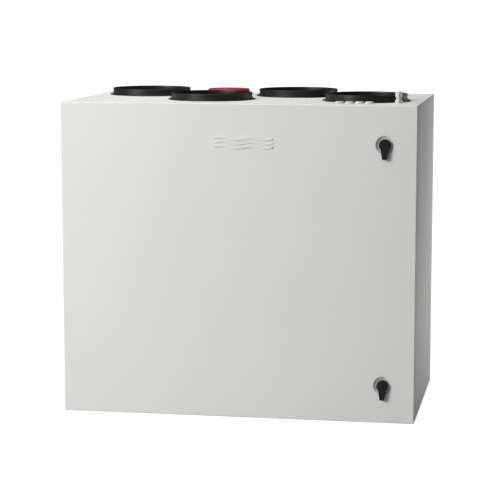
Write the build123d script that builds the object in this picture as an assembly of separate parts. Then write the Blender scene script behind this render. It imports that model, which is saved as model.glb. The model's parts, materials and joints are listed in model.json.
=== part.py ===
"""Upright ventilation unit with a rotary heat exchanger.

Frame: millimetres, +Z up, +X to the right of a person facing the door, the door faces -Y.
The origin is the centre of the cabinet's footprint, on the surface it stands on.
"""
from build123d import *
import math
import os

os.makedirs("parts", exist_ok=True)

# ---- cabinet -------------------------------------------------------------------------------
WIDTH = 1070.0
DEPTH = 635.0
HEIGHT = 945.0
SHEET = 1.2                      # painted outer sheet
LINER = 1.0                      # galvanised inner sheet
WALL = 45.0                      # outer sheet, insulation and inner sheet together
EDGE_R = 2.5                     # outer radius of the folded sheet edges
SEAM = 0.4                       # visible joint between two outer panels
FLANGE = 6.0                     # how far a side panel wraps round onto its neighbours
DOOR_T = 45.0
DOOR_GAP = 1.3                   # between the door and the cabinet's front edge
DOOR_LIFT = 2.0                  # the door's lower edge above the floor

X0, X1 = -WIDTH / 2, WIDTH / 2
Y0, Y1 = -DEPTH / 2, DEPTH / 2
DOOR_BACK = Y0 + DOOR_T
CASE_FRONT = DOOR_BACK + DOOR_GAP
FRAME_SETBACK = 6.2              # the front frame lies behind the cabinet's front edge
FRAME_Y = CASE_FRONT + FRAME_SETBACK
FRAME_T = 1.5
BODY_Y = FRAME_Y + FRAME_T       # the insulation and the liner start here

# inside faces of the liner
IX0, IX1 = X0 + WALL + LINER, X1 - WALL - LINER
IY1 = Y1 - WALL - LINER
IZ0, IZ1 = WALL + LINER, HEIGHT - WALL - LINER

# ---- duct connections ----------------------------------------------------------------------
DUCT_SPACING = 478.0             # between the two ducts of one row
REAR_ROW_X, FRONT_ROW_X = -122.5, 121.0
DUCT_FRONT_Y = Y0 + 232.0
DUCT_REAR_Y = Y0 + 465.0
NECK_R = 123.4                   # groove under the rim
RIM_R = 124.8                    # the round end that a 250 mm duct slips over
STEP_R = 125.4
FLANGE_R = 134.0
FLANGE_H = 2.6
STEP_H = 8.0
NECK_H = 15.5
SPIGOT_H = 21.5
SLEEVE_R = 122.5                 # sleeve through the wall
BORE_R = 120.5
HOLE_PLAY = 0.2
SPIGOTS = {
    "outdoor_spigot": (REAR_ROW_X - DUCT_SPACING / 2, DUCT_REAR_Y),
    "exhaust_spigot": (FRONT_ROW_X - DUCT_SPACING / 2, DUCT_FRONT_Y),
    "extract_spigot": (REAR_ROW_X + DUCT_SPACING / 2, DUCT_REAR_Y),
    "supply_spigot": (FRONT_ROW_X + DUCT_SPACING / 2, DUCT_FRONT_Y),
}

HOOD_AT = (-107.0, Y0 + 455.0)
HOOD_R = 62.5                    # spigot for a 125 mm hood duct
HOOD_T = 1.5
HOOD_H = 17.0
CAP_R = 66.0
CAP_H = 21.0
CAP_T = 2.2
BYPASS_FOOT_X = HOOD_AT[0] - 65.0

# ---- cable entries -------------------------------------------------------------------------
GROMMET_PITCH = 29.8
GROMMET_X = [297.0 + GROMMET_PITCH * i for i in range(4)]
GROMMET_Y = Y0 + 81.0
GROMMET_R = 14.5
GROMMET_H = 5.8
GROMMET_NECK_R = 10.0
GLAND_AT = (468.6, Y0 + 126.0)
GLAND_HEX = 21.5                 # across the flats of the lower part
GLAND_HEX_H = 9.5
GLAND_COLLAR_R = 8.7
GLAND_NUT = 20.4                 # across the flats of the nut
GLAND_NUT_Z = 17.5               # the nut's lower edge above the top panel
GLAND_TOP = 34.0
GLAND_THREAD_R = 8.0
GLAND_THREAD_TOP = 20.0
GLAND_BORE_R = 4.5               # the sealing part, in the nut
GLAND_BODY_BORE_R = 5.5

# ---- air paths -----------------------------------------------------------------------------
PLATE = 1.5
INNER_Y0 = BODY_Y + 1.5          # front edge of everything in the cabinet
MID_Z = 316.0                    # floor of the upper chambers
SHELF_Z = 590.0                  # floor of the fan and duct compartments
RISER_X = -236.0
RISER_Y = 22.0
PLENUM_X = 229.0
PLENUM_Y0, PLENUM_Y1 = -214.0, 40.0
SHELF_X1 = 204.0
CENTRE_X0, CENTRE_X1, CENTRE_JOG_Y = -10.0, 5.0, 31.0

# ---- rotary exchanger ----------------------------------------------------------------------
CASSETTE_X0, CASSETTE_X1 = -110.0, 140.0
WHEEL_Y = 4.0
WHEEL_Z = 316.5
WHEEL_R = 250.0
WHEEL_T = 200.0
WHEEL_X = (CASSETTE_X0 + CASSETTE_X1) / 2
RIM_T = 2.0
WINDOW_R = 238.0
BAR_HALF = 22.0
BRUSH_R, BRUSH_W = 247.0, 7.0
BRUSH_GAP = 0.4                  # between the bristles and the wheel
AXLE_R = 10.0
AXLE_END = 7.0                   # collars at both ends of the axle
COLLAR_R = 15.0
BEARING_R = 17.5
BEARING_W = 14.0
HUB_R = 32.0
HUB_BORE_R = 14.0
RUN_PLAY = 0.05
PULLEY_R = 18.0
PULLEY_FLANGE_R, PULLEY_FLANGE_T = 22.0, 2.5
BELT_W = 10.0
BELT_T = 2.0
BELT_PLAY = 0.3
PULLEY_Y, PULLEY_Z = WHEEL_Y - 222.0, WHEEL_Z + 222.0
MOTOR_SHAFT_R = 4.0
MOTOR_R = 30.0
MOTOR_L = 68.0
BRACKET_T = 3.0

# ---- fans ----------------------------------------------------------------------------------
FAN_R = 105.0
FAN_H = 86.0
FAN_LIFT = 20.0
FAN_BLADES = 7
FAN_SHEET = 2.5                  # of the impeller's disc and shroud
FAN_SHROUD_H = 20.5
FAN_MOUTH_R = 68.0
FAN_HOLE_R = 88.0
FAN_EYE_R = 30.0                 # hole in the impeller's back disc
FAN_TOP = 172.0                  # bracket above the plate the fan stands on
FAN_LEG = 112.0
FAN_MOTOR_R, FAN_FINS = 46.0, 12
FANS = {
    "supply": (PLENUM_X + 127.0, -86.0, MID_Z + PLATE),
    "exhaust": (-362.0, -120.0, SHELF_Z + PLATE),
}

# ---- filters and heater --------------------------------------------------------------------
FILTER_W = 46.0
FILTER_PLAY = 0.5
FILTER_X = {"outdoor": -124.0 - FILTER_W, "extract": 154.0}
FILTER_Y0, FILTER_Y1 = INNER_Y0 + 4.0, IY1 - 5.0
FRAME_W = 12.0
PLEATS = 40
MEDIA_T = 4.0                    # thickness of the folded cloth, measured across the filter
HEATER_X0, HEATER_X1 = 154.0, 204.0
HEATER_BOX = 40.0                # depth of the terminal box at the front
HEATER_RODS, HEATER_ROD_R = 4, 4.2
HAIRPIN_H, HAIRPIN_PITCH = 26.0, 54.0

# ---- controls ------------------------------------------------------------------------------
BOX_X0, BOX_X1 = 238.0, 388.0
BOX_Y0, BOX_Y1 = INNER_Y0, PLENUM_Y0 - PLATE - 0.5
BOX_Z0, BOX_Z1 = 560.0, 890.0

# ---- door, hinges and locks ----------------------------------------------------------------
ROLL_R = 5.0                     # rolled rear left edge, round the hinge axis
HINGE_X = X0 + ROLL_R
HINGE_Y = DOOR_BACK - ROLL_R
HINGE_Z = (140.0, 745.0)         # lower end of each hinge
BARREL_R = 4.2
BARREL_H = 30.0
PIN_R = 2.5
LEAF_T = 2.0
GASKET_X, GASKET_Z = 497.0, (38.0, 907.0)
GASKET_W, GASKET_T = 12.0, 7.0
MARK_X, MARK_Z = -68.0, 818.0     # start of the lowest wave of the raised mark
MARK_LENGTH, MARK_PITCH = 178.0, 12.5
MARK_WAVES, MARK_STEPS = 3, 24
MARK_HALF_W, MARK_RISE = 4.2, 3.2
MARK_RELIEF = 3.0
LOCK_X = 440.6
LOCKS = {"upper": 829.5, "lower": 114.4}
DISH_R = 27.6
DISH_FLOOR_R = 20.5
DISH_DEPTH = 6.0
LOCK_SLEEVE_R = 11.0
SPINDLE_R = 5.0
LEVER_HUB_R = 17.8
LEVER_BACK = 3.8                 # the hub's rear face, inside the recess
LEVER_REACH = 42.0
LEVER_ROOT_W, LEVER_TIP_W = 26.0, 14.2
LEVER_CROWN = 12.0               # how far the grip reaches above the hub's centre
LEVER_OUT = 13.0                 # how far the lever stands out from the door
LEVER_GAP = 4.0                  # between the grip and the door
SOCKET_DEPTH = 11.0              # of the spindle in the hub
CAM_REACH = 44.0
CAM_W = 16.0
CAM_T = 3.0
CAM_Y = -254.0
KEEPER_X = 467.0


# ---- helpers -------------------------------------------------------------------------------
def block(x0, x1, y0, y1, z0, z1):
    """A box between two corners."""
    size = (x1 - x0, y1 - y0, z1 - z0)
    return Pos((x0 + x1) / 2, (y0 + y1) / 2, (z0 + z1) / 2) * Box(*size)


def rod_z(x, y, z0, z1, r):
    """An upright cylinder."""
    return Pos(x, y, (z0 + z1) / 2) * Cylinder(r, z1 - z0)


def rod_y(x, z, y0, y1, r):
    """A cylinder along Y."""
    return Pos(x, (y0 + y1) / 2, z) * Rot(X=90) * Cylinder(r, y1 - y0)


def rod_x(y, z, x0, x1, r):
    """A cylinder along X."""
    return Pos((x0 + x1) / 2, y, z) * Rot(Y=90) * Cylinder(r, x1 - x0)


def turned(points, x, y, z):
    """A ring or disc turned about an upright axis from an (r, height) outline."""
    outline = make_face(Polyline(*[(r, 0, h) for r, h in points], close=True))
    return Pos(x, y, z) * revolve(outline, Axis.Z, 360)


def save(node, *solids):
    """Write one node: a single solid, or several separate solids together."""
    pieces = []
    for solid in solids:
        pieces.extend(solid.solids())
    shape = pieces[0] if len(pieces) == 1 else Compound(children=pieces)
    export_step(shape, f"parts/{node}.step")


# ---- cabinet -------------------------------------------------------------------------------
def cabinet_skin():
    """The whole outer sheet with rounded long edges, before it is cut into panels."""
    outer = block(X0, X1, CASE_FRONT, Y1, 0, HEIGHT)
    outer = fillet(outer.edges().filter_by(Axis.Y), EDGE_R)
    rear = outer.faces().sort_by(Axis.Y)[-1]
    outer = fillet(rear.edges(), EDGE_R)
    inner = block(X0 + SHEET, X1 - SHEET, CASE_FRONT - 1, Y1 - SHEET, SHEET, HEIGHT - SHEET)
    inner = fillet(inner.edges().filter_by(Axis.Y), EDGE_R - SHEET)
    rear = inner.faces().sort_by(Axis.Y)[-1]
    inner = fillet(rear.edges(), EDGE_R - SHEET)
    return outer - inner


def wall_holes(z0, z1):
    """The round passages through the top wall, between two heights."""
    tools = [rod_z(x, y, z0, z1, SLEEVE_R + HOLE_PLAY) for x, y in SPIGOTS.values()]
    tools.append(rod_z(*HOOD_AT, z0, z1, HOOD_R + HOLE_PLAY))
    tools += [rod_z(x, GROMMET_Y, z0, z1, GROMMET_NECK_R + HOLE_PLAY) for x in GROMMET_X]
    tools.append(rod_z(*GLAND_AT, z0, z1, GLAND_THREAD_R + HOLE_PLAY))
    return tools


def make_panels():
    """Two side panels that wrap round, and the top, base and back panels between them."""
    skin = cabinet_skin()
    inset = EDGE_R + FLANGE
    cut = Y1 - inset
    left = skin & block(X0 - 1, X0 + inset, Y0, Y1 + 1, -1, HEIGHT + 1)
    right = skin & block(X1 - inset, X1 + 1, Y0, Y1 + 1, -1, HEIGHT + 1)
    save("side_panels", left, right)
    span = (X0 + inset + SEAM, X1 - inset - SEAM)
    top = skin & block(*span, Y0, cut, HEIGHT / 2, HEIGHT + 1)
    for tool in wall_holes(HEIGHT - WALL, HEIGHT + 1):
        top -= tool
    save("top_panel", top)
    base = skin & block(*span, Y0, cut, -1, HEIGHT / 2)
    save("base_panel", base)
    back = skin & block(*span, cut + SEAM, Y1 + 1, -1, HEIGHT + 1)
    spots = screw_spots()
    for x, z in spots:
        back -= rod_y(x, z, Y1 - 5, Y1 + 1, 2.2)
    save("back_panel", back)
    save("panel_screws", *[pan_screw(x, z) for x, z in spots])


def screw_spots():
    """Where the back panel is screwed on: three columns of four."""
    columns = [-500.0, 0.0, 500.0]
    rows = [60.0, 335.0, 610.0, 885.0]
    return [(x, z) for x in columns for z in rows]


def pan_screw(x, z):
    """A pan-head screw whose head is on the back panel."""
    head = rod_y(x, z, Y1, Y1 + 2.4, 4.5)
    head = fillet(head.edges().sort_by(Axis.Y)[-1:], 1.2)
    slot = block(x - 3, x + 3, Y1 + 1.4, Y1 + 3, z - 0.6, z + 0.6)
    cross = block(x - 0.6, x + 0.6, Y1 + 1.4, Y1 + 3, z - 3, z + 3)
    return head + rod_y(x, z, Y1 - 8, Y1, 2.0) - slot - cross


def make_insulation():
    """Mineral wool slabs between the outer sheet and the liner."""
    lo, hi = SHEET + EDGE_R, HEIGHT - SHEET - EDGE_R
    rear = Y1 - SHEET - EDGE_R
    out = X1 - SHEET - EDGE_R
    core = X1 - WALL
    left = block(-out, -core, BODY_Y, rear, lo, hi)
    right = block(core, out, BODY_Y, rear, lo, hi)
    top = block(-core, core, BODY_Y, rear, HEIGHT - WALL, hi)
    for tool in wall_holes(HEIGHT - WALL - 1, HEIGHT):
        top -= tool
    base = block(-core, core, BODY_Y, rear, lo, WALL)
    back = block(-core, core, Y1 - WALL, rear, WALL, HEIGHT - WALL)
    for x, z in screw_spots():
        tool = rod_y(x, z, Y1 - 9, Y1, 2.4)
        left -= tool
        right -= tool
        back -= tool
    save("wall_insulation", left, right, top, base, back)


def make_liner():
    """Galvanised sheets round the air chambers: two sides, base, top and back."""
    y0, y1 = BODY_Y, Y1 - WALL
    left = block(X0 + WALL, IX0, y0, y1, WALL, HEIGHT - WALL)
    right = block(IX1, X1 - WALL, y0, y1, WALL, HEIGHT - WALL)
    base = block(IX0, IX1, y0, y1, WALL, IZ0)
    back = block(IX0, IX1, IY1, y1, IZ0, IZ1)
    top = block(IX0, IX1, y0, y1, IZ1, HEIGHT - WALL)
    for tool in wall_holes(IZ1 - 1, HEIGHT):
        top -= tool
    save("inner_liner", left, right, base, back, top)


def make_front_frame():
    """Flat ring that closes the wall's front edge; the door's gasket presses on it."""
    ring = block(X0 + SHEET, X1 - SHEET, FRAME_Y, BODY_Y, SHEET, HEIGHT - SHEET)
    ring = fillet(ring.edges().filter_by(Axis.Y), EDGE_R)
    ring -= block(IX0, IX1, FRAME_Y - 1, BODY_Y + 1, IZ0, IZ1)
    save("front_frame", ring)


# ---- air paths -----------------------------------------------------------------------------
def make_dividers():
    """Horizontal plates between the lower and upper chambers, left and right of the wheel."""
    left = block(IX0, CASSETTE_X0, INNER_Y0, IY1, MID_Z, MID_Z + PLATE)
    left -= block(IX0 - 1, RISER_X, RISER_Y, IY1 + 1, MID_Z - 1, MID_Z + PLATE + 1)
    right = block(CASSETTE_X1, IX1, INNER_Y0, IY1, MID_Z, MID_Z + PLATE)
    fan_x, fan_y, _ = FANS["supply"]
    right -= rod_z(fan_x, fan_y, MID_Z - 1, MID_Z + PLATE + 1, FAN_HOLE_R)
    axle_room = rod_x(WHEEL_Y, WHEEL_Z, CASSETTE_X0 - AXLE_END, CASSETTE_X1 + AXLE_END, COLLAR_R + 0.5)
    save("divider_shelves", left - axle_room, right - axle_room)


def make_upper_shelf():
    """Plate under the duct compartments, with the exhaust fan's and the bypass pipe's holes."""
    shelf = block(IX0, SHELF_X1, INNER_Y0, IY1, SHELF_Z, SHELF_Z + PLATE)
    shelf -= block(IX0 - 1, RISER_X, RISER_Y, IY1 + 1, SHELF_Z - 1, SHELF_Z + PLATE + 1)
    fan_x, fan_y, _ = FANS["exhaust"]
    shelf -= rod_z(fan_x, fan_y, SHELF_Z - 1, SHELF_Z + PLATE + 1, FAN_HOLE_R)
    shelf -= rod_z(BYPASS_FOOT_X, HOOD_AT[1], SHELF_Z - 1, SHELF_Z + PLATE + 1, HOOD_R - HOOD_T)
    save("upper_shelf", shelf)


def make_riser():
    """Angle that leads outdoor air from its spigot down the rear left corner."""
    z0, z1 = MID_Z + PLATE, IZ1
    wall = block(RISER_X, RISER_X + PLATE, RISER_Y, IY1, z0, z1)
    wall += block(IX0, RISER_X + PLATE, RISER_Y, RISER_Y + PLATE, z0, z1)
    wall -= block(RISER_X, RISER_X + 9, RISER_Y - 1, IY1 + 1, SHELF_Z, SHELF_Z + PLATE)
    wall -= block(IX0 - 1, RISER_X + 9, RISER_Y - 9, RISER_Y, SHELF_Z, SHELF_Z + PLATE)
    save("outdoor_riser", wall)


def make_centre_wall():
    """Stepped wall between the exhaust and extract compartments."""
    z0, z1 = SHELF_Z + PLATE, IZ1
    wall = block(CENTRE_X1, CENTRE_X1 + PLATE, INNER_Y0, CENTRE_JOG_Y + PLATE, z0, z1)
    wall += block(CENTRE_X0, CENTRE_X1 + PLATE, CENTRE_JOG_Y, CENTRE_JOG_Y + PLATE, z0, z1)
    wall += block(CENTRE_X0, CENTRE_X0 + PLATE, CENTRE_JOG_Y, IY1, z0, z1)
    save("centre_wall", wall)


def make_plenum():
    """Three walls round the supply fan, up to its spigot."""
    z0, z1 = MID_Z + PLATE, IZ1
    wall = block(PLENUM_X, PLENUM_X + PLATE, PLENUM_Y0 - PLATE, PLENUM_Y1 + PLATE, z0, z1)
    wall += block(PLENUM_X, IX1, PLENUM_Y0 - PLATE, PLENUM_Y0, z0, z1)
    wall += block(PLENUM_X, IX1, PLENUM_Y1, PLENUM_Y1 + PLATE, z0, z1)
    save("supply_plenum", wall)


# ---- rotary exchanger ----------------------------------------------------------------------
def make_cassette():
    """Sheets round the wheel: two sides with half-round windows, base, top, back and front ring."""
    x0, x1, y0, y1 = CASSETTE_X0, CASSETTE_X1, INNER_Y0, IY1
    z0, z1 = IZ0, SHELF_Z
    window = rod_x(WHEEL_Y, WHEEL_Z, x0 - 1, x1 + 1, WINDOW_R)
    window -= block(x0 - 2, x1 + 2, y0, y1, WHEEL_Z - BAR_HALF, WHEEL_Z + BAR_HALF)
    sheets = []
    for start in (x0, x1 - PLATE):
        side = block(start, start + PLATE, y0, y1, z0, z1) - window
        sheets.append(side - rod_x(WHEEL_Y, WHEEL_Z, x0 - 1, x1 + 1, AXLE_R))
    in0, in1 = x0 + PLATE, x1 - PLATE
    sheets.append(block(in0, in1, y0, y1, z0, z0 + PLATE))
    sheets.append(block(in0, in1, y0, y1, z1 - PLATE, z1))
    sheets.append(block(in0, in1, y1 - PLATE, y1, z0 + PLATE, z1 - PLATE))
    ring = block(in0, in1, y0, y0 + PLATE, z0 + PLATE, z1 - PLATE)
    ring -= block(x0 + 25, x1 - 25, y0 - 1, y0 + 5, z0 + 25, z1 - 25)
    sheets.append(ring)
    save("rotor_cassette", *sheets)


def make_wheel():
    """Heat wheel on its fixed axle: axle, two bearings, hub, matrix and rim band."""
    y, z = WHEEL_Y, WHEEL_Z
    x0, x1 = WHEEL_X - WHEEL_T / 2, WHEEL_X + WHEEL_T / 2
    axle = rod_x(y, z, CASSETTE_X0 - AXLE_END, CASSETTE_X1 + AXLE_END, AXLE_R)
    axle += rod_x(y, z, CASSETTE_X0 - AXLE_END, CASSETTE_X0, COLLAR_R)
    axle += rod_x(y, z, CASSETTE_X1, CASSETTE_X1 + AXLE_END, COLLAR_R)
    save("rotor_axle", axle)
    bearings = []
    for start in (x0, x1 - BEARING_W):
        race = rod_x(y, z, start, start + BEARING_W, BEARING_R)
        bearings.append(race - rod_x(y, z, start - 1, start + BEARING_W + 1, AXLE_R + RUN_PLAY))
    save("wheel_bearings", *bearings)
    hub = rod_x(y, z, x0, x1, HUB_R) - rod_x(y, z, x0 - 1, x1 + 1, HUB_BORE_R)
    hub -= rod_x(y, z, x0 - 1, x0 + BEARING_W, BEARING_R)
    hub -= rod_x(y, z, x1 - BEARING_W, x1 + 1, BEARING_R)
    save("wheel_hub", hub)
    matrix = rod_x(y, z, x0, x1, WHEEL_R - RIM_T) - rod_x(y, z, x0 - 1, x1 + 1, HUB_R)
    save("wheel_matrix", matrix)
    rim = rod_x(y, z, x0, x1, WHEEL_R) - rod_x(y, z, x0 - 1, x1 + 1, WHEEL_R - RIM_T)
    save("wheel_rim", rim)


def make_brush_seals():
    """Ring and cross bar of brush on the inside of each cassette side."""
    seals = []
    wheel_x0, wheel_x1 = WHEEL_X - WHEEL_T / 2, WHEEL_X + WHEEL_T / 2
    sides = ((CASSETTE_X0 + PLATE, wheel_x0 - BRUSH_GAP), (wheel_x1 + BRUSH_GAP, CASSETTE_X1 - PLATE))
    for a, b in sides:
        ring = rod_x(WHEEL_Y, WHEEL_Z, a, b, BRUSH_R)
        ring -= rod_x(WHEEL_Y, WHEEL_Z, a - 1, b + 1, BRUSH_R - BRUSH_W)
        reach = BRUSH_R - BRUSH_W + 1
        bar = block(a, b, WHEEL_Y - reach, WHEEL_Y + reach, WHEEL_Z - BRUSH_W, WHEEL_Z + BRUSH_W)
        bar -= rod_x(WHEEL_Y, WHEEL_Z, a - 1, b + 1, 2 * AXLE_R)
        seals.append(ring + bar)
    save("brush_seals", *seals)


def belt_outline(wheel_r, pulley_r):
    """Area inside an open belt round the wheel and the pulley, in the plane across the axle."""
    reach = math.hypot(PULLEY_Y - WHEEL_Y, PULLEY_Z - WHEEL_Z)
    lean = math.asin((wheel_r - pulley_r) / reach)
    corners = [
        (wheel_r * math.sin(lean), wheel_r * math.cos(lean)),
        (reach + pulley_r * math.sin(lean), pulley_r * math.cos(lean)),
        (reach + pulley_r * math.sin(lean), -pulley_r * math.cos(lean)),
        (wheel_r * math.sin(lean), -wheel_r * math.cos(lean)),
    ]
    web = make_face(Polyline(*corners, close=True))
    return web + Circle(wheel_r) + Pos(reach, 0) * Circle(pulley_r)


def make_drive():
    """Wheel drive: belt, motor pulley, gearmotor with its bracket."""
    heading = math.degrees(math.atan2(PULLEY_Z - WHEEL_Z, PULLEY_Y - WHEEL_Y))
    plane = Plane(origin=(WHEEL_X, WHEEL_Y, WHEEL_Z), x_dir=(0, 1, 0), z_dir=(1, 0, 0))
    outer = belt_outline(WHEEL_R + BELT_PLAY + BELT_T, PULLEY_R + BELT_PLAY + BELT_T)
    inner = belt_outline(WHEEL_R + BELT_PLAY, PULLEY_R + BELT_PLAY)
    loop = plane * (Rot(Z=heading) * (outer - inner))
    save("drive_belt", extrude(loop, BELT_W / 2, both=True))

    y, z = PULLEY_Y, PULLEY_Z
    half = BELT_W / 2 + 0.5
    rim = half + PULLEY_FLANGE_T
    pulley = rod_x(y, z, WHEEL_X - rim, WHEEL_X + rim, PULLEY_FLANGE_R)
    groove = rod_x(y, z, WHEEL_X - half, WHEEL_X + half, PULLEY_FLANGE_R + 1)
    pulley -= groove - rod_x(y, z, WHEEL_X - half, WHEEL_X + half, PULLEY_R)
    pulley -= rod_x(y, z, WHEEL_X - 20, WHEEL_X + 20, MOTOR_SHAFT_R + RUN_PLAY)
    save("motor_pulley", pulley)

    face = WHEEL_X + rim + 2
    start, end = face + BRACKET_T, face + BRACKET_T + MOTOR_L
    motor = rod_x(y, z, start, end, MOTOR_R)
    motor = chamfer(motor.edges().filter_by(GeomType.CIRCLE), 2.0)
    motor += rod_x(y, z, end, end + 6, 0.4 * MOTOR_R)
    motor += rod_x(y, z, WHEEL_X - half - 2, start, MOTOR_SHAFT_R)
    top = SHELF_Z - PLATE
    bracket = block(face, start, y - MOTOR_R, y + MOTOR_R, z - MOTOR_R - 2, top)
    bracket += block(face, face + 2 * MOTOR_R, y - MOTOR_R, y + MOTOR_R, top - 2, top)
    bracket -= rod_x(y, z, face - 1, start + 1, MOTOR_SHAFT_R + 0.3)
    save("drive_motor", motor, bracket)


# ---- fans ----------------------------------------------------------------------------------
def inlet_ring(x, y, z):
    """Bell-shaped inlet on the fan's plate."""
    outline = [(FAN_HOLE_R + 12, 0), (FAN_HOLE_R + 12, 2), (FAN_HOLE_R - 4, 2)]
    outline += [(FAN_MOUTH_R + 6, 7), (FAN_MOUTH_R + 1, 14), (FAN_MOUTH_R, 26)]
    outline += [(FAN_MOUTH_R - 2, 26), (FAN_MOUTH_R - 1, 13), (FAN_MOUTH_R + 4.5, 5)]
    outline += [(FAN_HOLE_R - 6, 0)]
    return turned(outline, x, y, z)


def blade_section():
    """Section of one backward-curved blade, between two arcs."""
    hollow = ThreePointArc((FAN_R - 24, 0), (FAN_R - 15, 20), (FAN_R - 14, 44))
    crown = ThreePointArc((FAN_R - 26.6, 0.6), (FAN_R - 17.6, 20.6), (FAN_R - 16.6, 44))
    return make_face([hollow, crown, Line(hollow @ 0, crown @ 0), Line(hollow @ 1, crown @ 1)])


def impeller(x, y, z):
    """Backward-curved wheel: back disc, inlet shroud and the blades riveted between them."""
    base = z + FAN_LIFT
    top = base + FAN_H
    t, shroud_h = FAN_SHEET, FAN_SHROUD_H
    disc = turned([(FAN_EYE_R, 0), (FAN_R, 0), (FAN_R, t), (FAN_EYE_R, t)], x, y, top - t)
    collar, lip = FAN_MOUTH_R + 3, FAN_MOUTH_R + 3 + t
    outline = [(collar, 0), (lip, 0), (lip, 14), (lip + 4, shroud_h - t), (FAN_R, shroud_h - t)]
    outline += [(FAN_R, shroud_h), (lip + 3, shroud_h), (collar, 15)]
    wheel = [disc, turned(outline, x, y, base)]
    blade = extrude(blade_section(), FAN_H - t - shroud_h, dir=(0, 0, 1))
    for i in range(FAN_BLADES):
        wheel.append(Pos(x, y, base + shroud_h) * Rot(Z=360.0 / FAN_BLADES * i) * blade)
    return wheel


def fan_motor(x, y, z):
    """External-rotor motor above the impeller's back disc."""
    foot = z + FAN_LIFT + FAN_H + 0.5
    r = FAN_MOTOR_R
    body = rod_z(x, y, foot, z + FAN_TOP, r)
    body = fillet(body.edges().filter_by(GeomType.CIRCLE), 4.0)
    for i in range(FAN_FINS):
        fin = block(r - 2, r + 3, -1.5, 1.5, foot + 14, z + FAN_TOP - 8)
        body += Pos(x, y, 0) * Rot(Z=360.0 / FAN_FINS * i) * fin
    return body


def fan_bracket(x, y, z):
    """Four legs and two crossed bars that carry the motor."""
    top = z + FAN_TOP
    legs = [(sx * FAN_LEG, sy * FAN_LEG) for sx in (-1, 1) for sy in (-1, 1)]
    frame = None
    for dx, dy in legs:
        leg = rod_z(x + dx, y + dy, z, top, 5)
        frame = leg if frame is None else frame + leg
    bar = block(-FAN_LEG * math.sqrt(2) - 8, FAN_LEG * math.sqrt(2) + 8, -9, 9, 0, 3)
    for turn in (45, 135):
        frame += Pos(x, y, top) * Rot(Z=turn) * bar
    return frame


def make_fans():
    """Both fans: one stands on the right divider, one on the upper shelf."""
    save("fan_inlet_rings", *[inlet_ring(*at) for at in FANS.values()])
    save("fan_motors", *[fan_motor(*at) for at in FANS.values()])
    save("fan_brackets", *[fan_bracket(*at) for at in FANS.values()])
    for name, at in FANS.items():
        save(f"{name}_impeller", *impeller(*at))


# ---- filters and heater --------------------------------------------------------------------
def filter_box(name):
    """Corner heights and the near X face of a filter."""
    if name == "outdoor":
        return FILTER_X[name], IZ0 + 1.5, MID_Z - 1.5
    return FILTER_X[name], MID_Z + PLATE + 1.5, SHELF_Z - 1.5


def filter_frame(name):
    """Rectangular frame with a grip tab at the front."""
    x, z0, z1 = filter_box(name)
    ring = block(x, x + FILTER_W, FILTER_Y0, FILTER_Y1, z0, z1)
    ring -= block(x - 1, x + FILTER_W + 1, FILTER_Y0 + FRAME_W, FILTER_Y1 - FRAME_W,
                  z0 + FRAME_W, z1 - FRAME_W)
    mid = (z0 + z1) / 2
    return ring + block(x + 17, x + 29, FILTER_Y0 - 3.5, FILTER_Y0, mid - 25, mid + 25)


def filter_media(name):
    """Folded filter cloth: one zigzag sheet across the frame."""
    x, z0, z1 = filter_box(name)
    y0, y1 = FILTER_Y0 + FRAME_W + 0.1, FILTER_Y1 - FRAME_W - 0.1
    step = (y1 - y0) / PLEATS
    front, back = [], []
    for i in range(PLEATS + 1):
        fold_x = x + 3 if i % 2 == 0 else x + FILTER_W - 3 - MEDIA_T
        front.append((fold_x, y0 + i * step))
        back.append((fold_x + MEDIA_T, y0 + i * step))
    face = make_face(Polyline(*front, *reversed(back), close=True))
    return Pos(0, 0, z0 + FRAME_W + 0.1) * extrude(face, z1 - z0 - 2 * FRAME_W - 0.2)


def filter_rail(x, z, direction):
    """Shallow channel that a filter slides in; its lips point up (1) or down (-1)."""
    a, b = x - FILTER_PLAY - 1, x + FILTER_W + FILTER_PLAY + 1
    low, high = sorted((z, z + direction * 1.0))
    rail = block(a, b, INNER_Y0, IY1, low, high)
    tip = z + direction * 8.0
    low, high = sorted((z, tip))
    rail += block(a, a + 1, INNER_Y0, IY1, low, high)
    rail += block(b - 1, b, INNER_Y0, IY1, low, high)
    return rail


def make_filters():
    """Two panel filters and their four rails."""
    names = list(FILTER_X)
    save("filter_frames", *[filter_frame(name) for name in names])
    save("filter_media", *[filter_media(name) for name in names])
    out, ext = FILTER_X["outdoor"], FILTER_X["extract"]
    rails = [filter_rail(out, IZ0, 1), filter_rail(out, MID_Z, -1)]
    rails += [filter_rail(ext, MID_Z + PLATE, 1), filter_rail(ext, SHELF_Z, -1)]
    save("filter_rails", *rails)


def make_heater():
    """Open frame after the wheel, with tubular heating elements bent into hairpins."""
    x0, x1, y0, y1 = HEATER_X0, HEATER_X1, INNER_Y0, IY1
    inner = y0 + HEATER_BOX
    frame = block(x0, x1, y0, y1, IZ0, MID_Z)
    frame -= block(x0 - 1, x1 + 1, inner, y1 - PLATE, IZ0 + PLATE, MID_Z - PLATE)
    frame -= block(x0 + PLATE, x1 - PLATE, y0 + PLATE, inner - PLATE, IZ0 + PLATE, MID_Z - PLATE)
    save("heater_frame", frame)
    elements = []
    mid, bend = (x0 + x1) / 2, y1 - 30
    for i in range(HEATER_RODS):
        z = IZ0 + 42 + HAIRPIN_PITCH * i
        path = FilletPolyline((mid, inner, z), (mid, bend, z), (mid, bend, z + HAIRPIN_H),
                              (mid, inner, z + HAIRPIN_H), radius=HAIRPIN_H / 2 - 0.1)
        start = Plane(origin=(mid, inner, z), z_dir=(0, 1, 0))
        elements.append(sweep(start * Circle(HEATER_ROD_R), path=path))
    save("heater_elements", *elements)


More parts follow.
